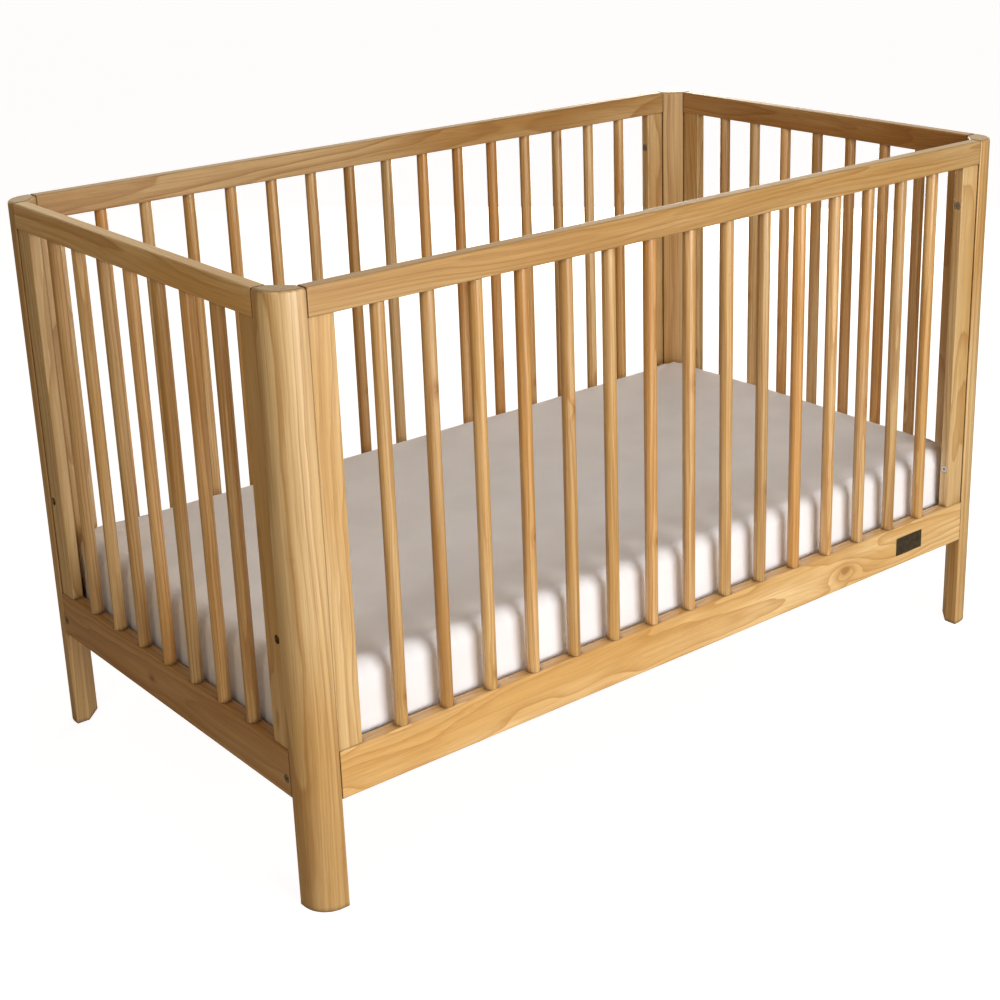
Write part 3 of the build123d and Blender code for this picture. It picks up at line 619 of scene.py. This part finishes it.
def cloth_relief(points, half, top):
    """How far the stretched cloth stands out at each point: higher near the ends and the back right corner,
    with broad waves, drag lines, and rays and gathers at the corners."""
    relief = np.zeros(len(points))
    for i, (x, y, z) in enumerate(points):
        to_end, to_side = half.x - abs(x), half.y - abs(y)
        rise = END_RISE * math.exp(-max(0.0, to_end) / 0.16) * min(1.0, to_end / 0.02 + 0.3)
        peak = CORNER_PEAK * math.exp(-((x - half.x) ** 2 + (y - half.y) ** 2) / 0.035**2)
        wave = noise.noise(Vector((3.1 * x, 4.3 * y, 2.0 * z + 5.0))) * BROAD_WAVE
        drag = noise.noise(Vector((7.0 * x + 9.0 * y, 26.0 * (y - 0.35 * x), 7.0))) * DRAG_LINE
        along = x if to_side < to_end else y
        corner = math.hypot(max(0.0, half.x - abs(x)), max(0.0, half.y - abs(y)))
        depth = min(1.0, max(0.0, (top - z) / 0.10))
        spread = math.atan2(to_side + 0.004, to_end + 0.004)
        rays = (math.exp(-corner / 0.11) * math.sin(15.0 * spread + 3.0 * math.copysign(1.0, x * y))
                * CORNER_RAY)
        on_side = math.exp(-max(0.0, min(to_end, to_side)) / 0.010)
        gathers = (math.exp(-corner / 0.085) * math.sin(along * 340.0 + 2.0 * math.sin(along * 60.0))
                   * GATHER)
        hang = noise.noise(Vector((11.0 * along, 3.0 * z, 17.0))) * HANG_WAVE + HANG_BULGE * depth
        relief[i] = (rise * (1.0 - depth) + peak + wave + drag + rays * (1.0 - 0.6 * on_side)
                     + on_side * depth * (gathers + hang))
    return relief


def tube(name, path, radius, material, sides=8, closed=False):
    """A thin cord of cloth along a path of points."""
    path = [Vector(p) for p in path]
    vertices, faces = [], []
    for i, place in enumerate(path):
        before = path[i - 1] if i or closed else place
        after = path[(i + 1) % len(path)] if i + 1 < len(path) or closed else place
        ahead = (after - before).normalized()
        side = ahead.cross(Vector((0.31, 0.17, 0.93))).normalized()
        lift = side.cross(ahead)
        for k in range(sides):
            turn = 2 * math.pi * k / sides
            vertices.append(place + radius * (math.cos(turn) * side + math.sin(turn) * lift))
    rings = len(path) if closed else len(path) - 1
    for i in range(rings):
        here, there = i * sides, (i + 1) % len(path) * sides
        faces += [(here + k, here + (k + 1) % sides, there + (k + 1) % sides, there + k)
                  for k in range(sides)]
    if not closed:
        faces.append(tuple(range(sides))[::-1])
        faces.append(tuple(range(len(vertices) - sides, len(vertices))))
    return mesh_piece(name, vertices, faces, material)


def rounded_path(half_x, half_y, corner, height):
    """A closed rounded rectangle of points at one height."""
    path = []
    for quarter, (sx, sy) in enumerate(((1, 1), (-1, 1), (-1, -1), (1, -1))):
        for k in range(ELASTIC_STEPS + 1):
            turn = math.pi / 2 * (quarter + k / ELASTIC_STEPS)
            path.append((sx * (half_x - corner) + corner * math.cos(turn),
                         sy * (half_y - corner) + corner * math.sin(turn), height))
        if quarter % 2 == 0:
            path += [(u * (half_x - corner), sy * half_y, height) for u in np.linspace(sx, -sx, 60)[1:-1]]
        else:
            path += [(sx * half_x, u * (half_y - corner), height) for u in np.linspace(sy, -sy, 32)[1:-1]]
    return path


def make_bedding():
    sheet_cotton = cotton("sheet_cotton", (0.95, 0.95, 0.99))
    ticking = cotton("mattress_ticking", (0.80, 0.79, 0.76), 0.0016, 0.15)
    low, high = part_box("fitted_sheet")
    half = (high - low) / 2

    vertices, faces = block_shell("mattress", CORE_INSET, CORE_STEP, True)
    core = mesh_piece("mattress_core", vertices, faces, ticking)
    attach(core, "mattress")
    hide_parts("mattress")

    vertices, faces = block_shell("fitted_sheet", 0.0, SHEET_STEP, False)
    cloth = mesh_piece("sheet_cloth", vertices, faces, sheet_cotton)
    points, normals = points_of(cloth), normals_of(cloth)
    relief = cloth_relief(points, half, high.z)
    under = points[:, 2] < low.z + 0.002
    relief[under] = 0.0
    points = points + normals * np.maximum(relief, DEEPEST_DIP)[:, None]
    set_points(cloth, points)
    thick = cloth.modifiers.new("thickness", "SOLIDIFY")
    thick.thickness = CLOTH
    thick.offset = -1.0
    apply_modifiers(cloth)

    for name, sx, sy in (("front_left", -1, -1), ("front_right", 1, -1), ("back_left", -1, 1),
                         ("back_right", 1, 1)):
        path = []
        for offset, height in side_profile(high.z, low.z, TOP_ROLL, BOTTOM_ROLL, 0.006, 0.010):
            reach = (CORNER - TOP_ROLL + offset) * math.sqrt(0.5) - 0.0003
            path.append((sx * (half.x - CORNER + reach), sy * (half.y - CORNER + reach), height))
        seam = tube("sheet_seam_" + name, path, 0.0011, sheet_cotton)
        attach(seam, "mattress")
    rim = HEM_UNDER + BOTTOM_ROLL
    path = rounded_path(half.x - rim, half.y - rim, 0.012, low.z + 0.0022)
    elastic = tube("sheet_elastic", path, 0.0020, sheet_cotton, closed=True)
    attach(elastic, "mattress")
    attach(cloth, "mattress")
    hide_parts("fitted_sheet")


make_bedding()

# ---------------------------------------------------------------- stage, light and camera


FLOOR_REACH = 40.0
FLOOR_COLOUR = (0.50, 0.40, 0.28, 1.0)
FLOOR_GLOW_COLOUR = (0.97, 1.0, 1.04, 1.0)
FLOOR_GLOW = 0.87
ZENITH_LIGHT, ZENITH_COLOUR = 0.245, (1.0, 0.90, 0.79, 1.0)
HORIZON_LIGHT, HORIZON_COLOUR = 0.06, (1.0, 0.68, 0.38, 1.0)
BACKDROP_LIGHT, BACKDROP_COLOUR = 1.50, (1.0, 0.84, 0.58, 1.0)
# (name, place, where it points, width, watts, colour)
LAMPS = (("key", (-0.15, -3.3, 0.75), (0.0, 0.0, 0.40), 2.4, 98.0, (1.0, 0.99, 0.98)),
         ("fill", (-2.1, -2.7, 0.7), (-0.1, 0.0, 0.35), 1.6, 8.0, (1.0, 0.99, 0.98)),
         ("overhead", (0.6, -0.9, 3.0), (0.0, 0.0, 0.3), 0.5, 10.0, (1.0, 0.95, 0.89)),
         ("back", (2.6, 2.4, 0.45), (0.0, 0.0, 0.45), 1.6, 60.0, (1.0, 0.97, 0.93)),
         ("side", (-2.6, -1.2, 1.9), (-0.6, -0.2, 0.8), 1.0, 10.0, (1.0, 0.85, 0.62)))
SENSOR_WIDTH = 36.0
FOCAL_LENGTH = 64.85
CAMERA_SHIFT = (-0.0421, -0.0744)
CAMERA_PLACE = (-1.71464, -2.14831, 1.39059)
# yaw, pitch and roll, in degrees
CAMERA_TURNS = (-39.009, -19.331, -1.589)


def make_stage():
    """A plain pale floor that runs on to the horizon. The camera sees it lighter than it lights the crib."""
    reach = FLOOR_REACH
    corners = [(-reach, -reach, 0), (reach, -reach, 0), (reach, reach, 0), (-reach, reach, 0)]
    mesh = bpy.data.meshes.new("floor")
    mesh.from_pydata(corners, [], [(0, 1, 2, 3)])
    floor = bpy.data.objects.new("floor", mesh)
    bpy.context.scene.collection.objects.link(floor)
    material, graph = new_material("floor")
    seen = graph.new("ShaderNodeLightPath").outputs["Is Camera Ray"]
    glow = graph.math("MULTIPLY", seen, FLOOR_GLOW)
    shader = graph.new("ShaderNodeBsdfPrincipled", {"Base Color": FLOOR_COLOUR, "Roughness": 0.9,
                                                    "Emission Color": FLOOR_GLOW_COLOUR,
                                                    "Emission Strength": glow})
    graph.new("ShaderNodeOutputMaterial", {"Surface": shader.outputs[0]})
    mesh.materials.append(material)


def make_world():
    """Soft light from above that fades and warms towards the horizon, and a backdrop low behind the crib. The
    camera sees it all plain white."""
    world = bpy.data.worlds.new("studio")
    world.use_nodes = True
    world.node_tree.nodes.clear()
    graph = Graph(world.node_tree)
    x, y, up = graph.split(graph.new("ShaderNodeTexCoord").outputs["Generated"])
    behind = graph.math("ADD", graph.math("MULTIPLY", x, 0.63), graph.math("MULTIPLY", y, 0.78))
    behind = graph.math("MULTIPLY", graph.stretch(behind, 0.35, 0.9), graph.stretch(up, 0.05, 0.6, 1.0, 0.0))
    strength = graph.math("ADD", graph.stretch(up, 0.0, 0.9, HORIZON_LIGHT, ZENITH_LIGHT),
                          graph.math("MULTIPLY", behind, BACKDROP_LIGHT))
    tint = graph.mix(graph.stretch(up, 0.0, 0.8), HORIZON_COLOUR, ZENITH_COLOUR)
    tint = graph.mix(behind, tint, BACKDROP_COLOUR)
    lit = graph.new("ShaderNodeBackground", {"Color": tint, "Strength": strength})
    plain = graph.new("ShaderNodeBackground", {"Color": (1.0, 1.0, 1.0, 1.0), "Strength": 1.0})
    seen = graph.new("ShaderNodeLightPath").outputs["Is Camera Ray"]
    both = graph.new("ShaderNodeMixShader", {0: seen, 1: lit.outputs[0], 2: plain.outputs[0]})
    graph.new("ShaderNodeOutputWorld", {"Surface": both.outputs[0]})
    bpy.context.scene.world = world


def add_area(name, place, target, size, power, colour):
    light = bpy.data.lights.new(name, "AREA")
    light.shape = "DISK"
    light.size = size
    light.energy = power
    light.color = colour
    lamp = bpy.data.objects.new(name, light)
    lamp.location = place
    lamp.visible_camera = False
    lamp.rotation_euler = (Vector(target) - Vector(place)).to_track_quat("-Z", "Y").to_euler()
    bpy.context.scene.collection.objects.link(lamp)


def light_and_camera():
    scene = bpy.context.scene
    scene.view_settings.view_transform = "Standard"
    make_world()
    for lamp in LAMPS:
        add_area(*lamp)
    camera_data = bpy.data.cameras.new("camera")
    camera_data.sensor_width = SENSOR_WIDTH
    camera_data.lens = FOCAL_LENGTH
    camera_data.shift_x, camera_data.shift_y = CAMERA_SHIFT
    camera = bpy.data.objects.new("camera", camera_data)
    yaw, pitch, roll = (math.radians(a) for a in CAMERA_TURNS)
    turn = (Matrix.Rotation(yaw, 4, "Z") @ Matrix.Rotation(math.pi / 2 + pitch, 4, "X")
            @ Matrix.Rotation(roll, 4, "Z"))
    camera.matrix_world = Matrix.Translation(CAMERA_PLACE) @ turn
    scene.collection.objects.link(camera)
    scene.camera = camera


make_stage()
light_and_camera()
